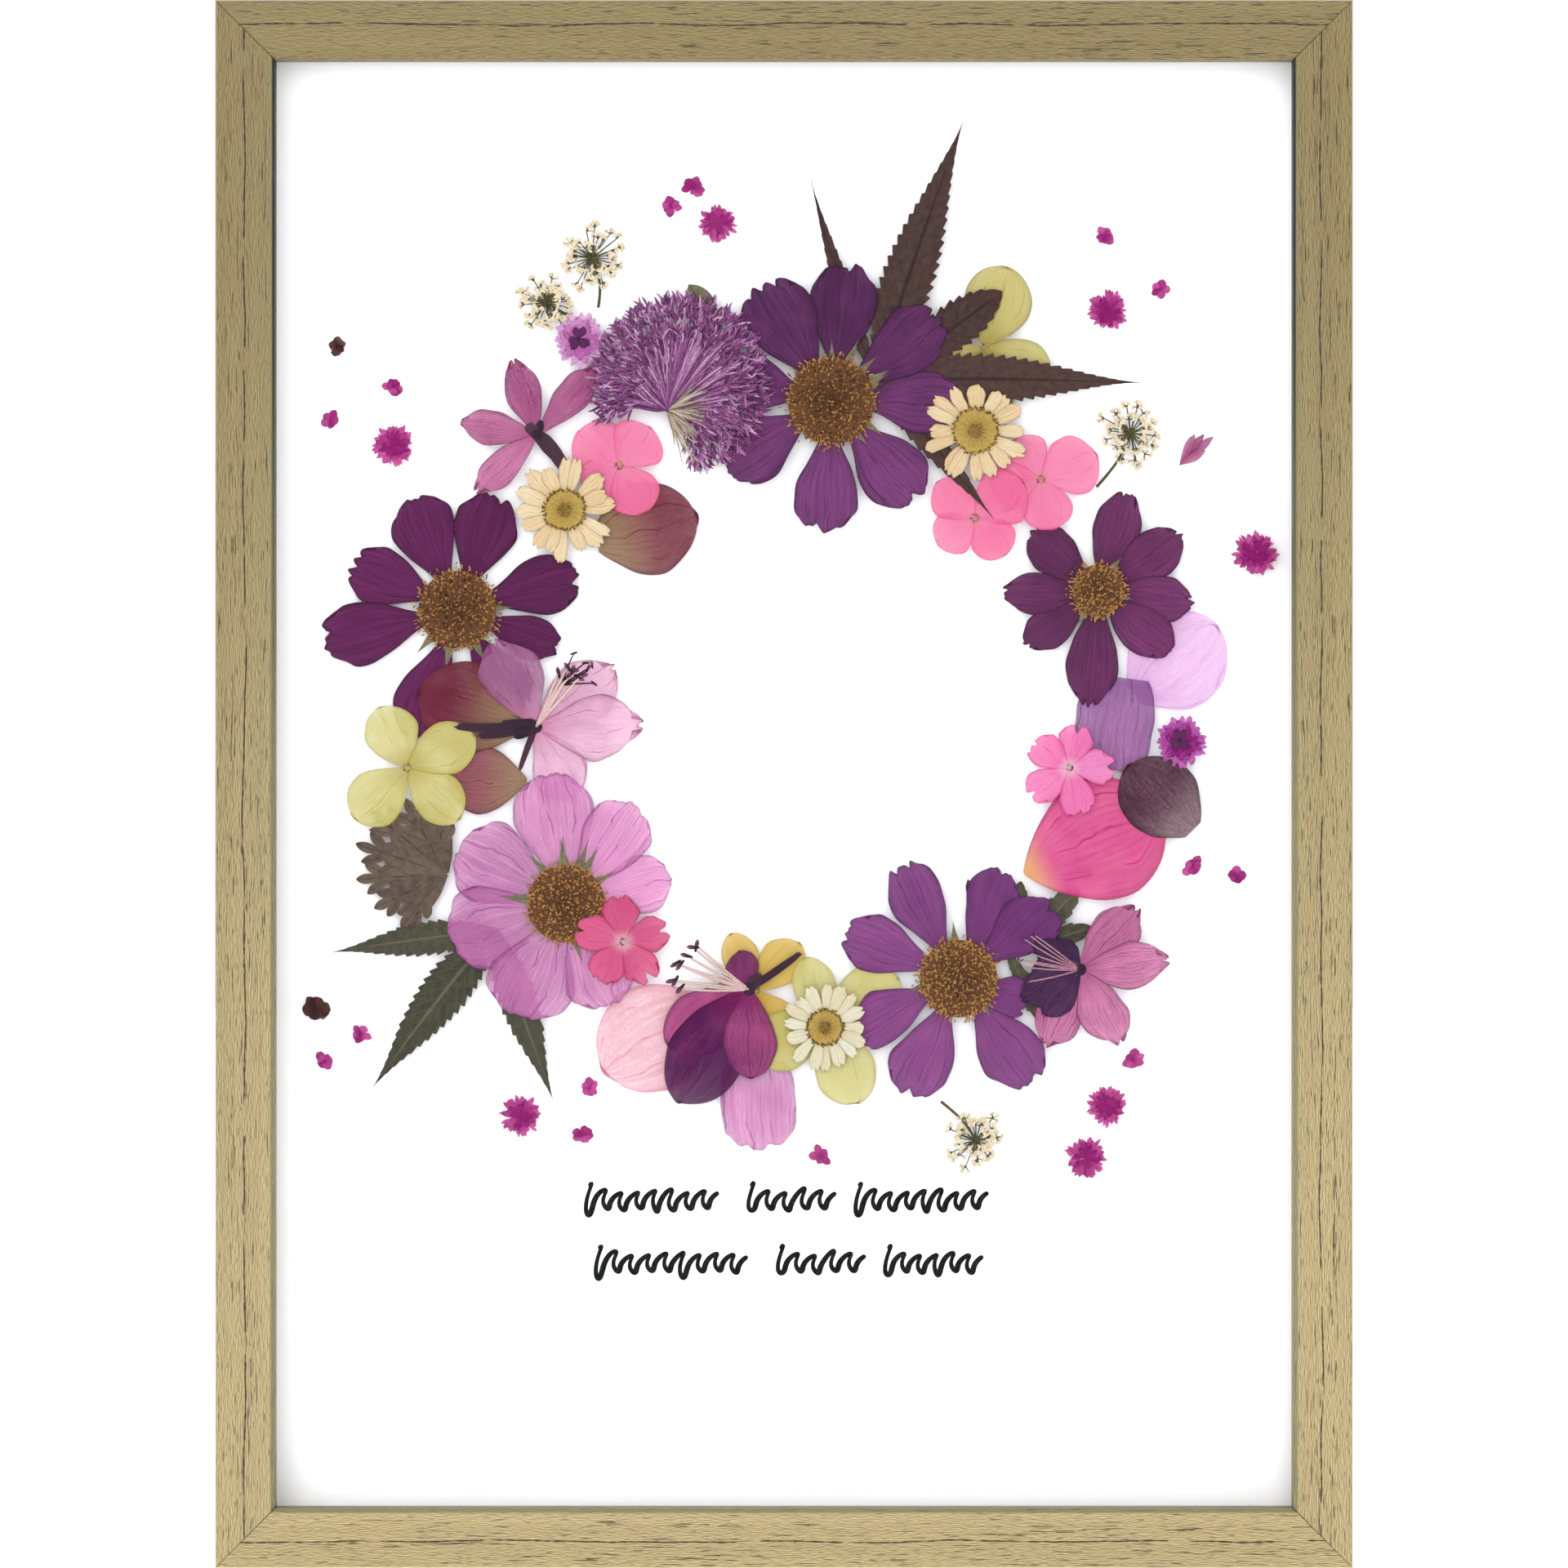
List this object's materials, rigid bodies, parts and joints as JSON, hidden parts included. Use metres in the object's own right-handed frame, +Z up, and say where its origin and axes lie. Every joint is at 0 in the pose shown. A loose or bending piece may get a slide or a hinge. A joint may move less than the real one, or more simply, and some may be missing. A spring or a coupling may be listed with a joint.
{
  "type": "floating frame",
  "caption": "Slim wooden double-glass floating frame holding a wreath of pressed flowers over a white ground, with turn buttons and ring hangers behind.",
  "frame": {"origin": "middle of the bottom edge, in the plane of the rails' backs", "axes": "+X to the right seen from the front, +Z up, +Y from the front towards the wall"},
  "size_m": [0.23, 0.0186, 0.317],
  "materials": {
    "oak_veneer": "matt open-grained oak look",
    "clear_glass": "clear float glass",
    "white_card": "matt white card",
    "fibre_board": "pressed fibre board",
    "plated_steel": "bright zinc plate",
    "soft_rubber": "matt",
    "purple_petal": "dried petal, dark purple, veined",
    "violet_petal": "dried petal, violet, veined",
    "lilac_petal": "dried petal, lilac, translucent",
    "pink_petal": "dried petal, candy pink",
    "rose_petal": "dried petal, deep rose",
    "cream_petal": "dried petal, cream",
    "yellow_petal": "dried petal, straw yellow, veined",
    "burgundy_petal": "dried petal, burgundy, veined",
    "dark_leaf": "dried leaf, brown-green, matt",
    "seed_head": "dried seed head"
  },
  "bodies": {
    "frame": {"rail_top": "oak_veneer", "rail_bottom": "oak_veneer", "rail_left": "oak_veneer", "rail_right": "oak_veneer", "corner_v_nails": "plated_steel", "front_glass": "clear_glass", "rear_glass": "clear_glass", "mount_card": "white_card", "back_board": "fibre_board", "turn_button_screws": "plated_steel", "hanger_straps": "plated_steel", "hanger_screws": "plated_steel", "wall_bumpers": "soft_rubber", "cosmos_top": "purple_petal", "cosmos_left": "purple_petal", "cosmos_right": "purple_petal", "cosmos_bottom_right": "violet_petal", "cosmos_bottom_left": "lilac_petal", "palmate_leaf": "dark_leaf", "serrated_leaf": "dark_leaf", "lobed_leaf": "dark_leaf", "leaf_sprig": "dark_leaf", "thread_flower": "violet_petal", "daisy_top": "cream_petal", "daisy_left": "cream_petal", "daisy_bottom": "cream_petal", "verbena_left": "rose_petal", "verbena_right": "rose_petal", "hydrangea_pink_left": "pink_petal", "hydrangea_pink_right": "pink_petal", "hydrangea_pink_inner": "pink_petal", "hydrangea_yellow_left": "yellow_petal", "hydrangea_yellow_bottom": "yellow_petal", "hydrangea_olive_top": "yellow_petal", "hydrangea_green_bottom": "yellow_petal", "fireweed_top_left": "rose_petal", "fireweed_left": "lilac_petal", "fireweed_right": "rose_petal", "magenta_flower": "rose_petal", "burgundy_petals": "burgundy_petal", "rose_petal": "rose_petal", "mauve_petal": "burgundy_petal", "pale_petals": "lilac_petal", "bottom_petals": "lilac_petal", "pompons": "violet_petal", "lace_umbels": "seed_head", "green_buds": "dark_leaf", "tube_sprig": "violet_petal", "scattered_florets": "rose_petal"},
    "turn_button_left_upper": {"turn_button_left_upper": "plated_steel"},
    "turn_button_left_lower": {"turn_button_left_lower": "plated_steel"},
    "turn_button_right_upper": {"turn_button_right_upper": "plated_steel"},
    "turn_button_right_lower": {"turn_button_right_lower": "plated_steel"},
    "turn_button_top": {"turn_button_top": "plated_steel"},
    "turn_button_bottom": {"turn_button_bottom": "plated_steel"},
    "hanger_ring_left": {"hanger_ring_left": "plated_steel"},
    "hanger_ring_right": {"hanger_ring_right": "plated_steel"}
  },
  "joints": [
    {"name": "left_upper_button_turn", "type": "hinge", "parent": "frame", "child": "turn_button_left_upper", "pos_m": [-0.1105, 0, 0.2205], "axis": [0, 1, 0], "continuous": true},
    {"name": "left_lower_button_turn", "type": "hinge", "parent": "frame", "child": "turn_button_left_lower", "pos_m": [-0.1105, 0, 0.0965], "axis": [0, 1, 0], "continuous": true},
    {"name": "right_upper_button_turn", "type": "hinge", "parent": "frame", "child": "turn_button_right_upper", "pos_m": [0.1105, 0, 0.2205], "axis": [0, 1, 0], "continuous": true},
    {"name": "right_lower_button_turn", "type": "hinge", "parent": "frame", "child": "turn_button_right_lower", "pos_m": [0.1105, 0, 0.0965], "axis": [0, 1, 0], "continuous": true},
    {"name": "top_button_turn", "type": "hinge", "parent": "frame", "child": "turn_button_top", "pos_m": [0, 0, 0.3125], "axis": [0, 1, 0], "continuous": true},
    {"name": "bottom_button_turn", "type": "hinge", "parent": "frame", "child": "turn_button_bottom", "pos_m": [0, 0, 0.0045], "axis": [0, 1, 0], "continuous": true},
    {"name": "left_ring_swing", "type": "hinge", "parent": "frame", "child": "hanger_ring_left", "pos_m": [-0.1096, 0.00165, 0.2585], "axis": [-1, 0, 0], "range_deg": [0, 165]},
    {"name": "right_ring_swing", "type": "hinge", "parent": "frame", "child": "hanger_ring_right", "pos_m": [0.1096, 0.00165, 0.2585], "axis": [-1, 0, 0], "range_deg": [0, 165]}
  ]
}
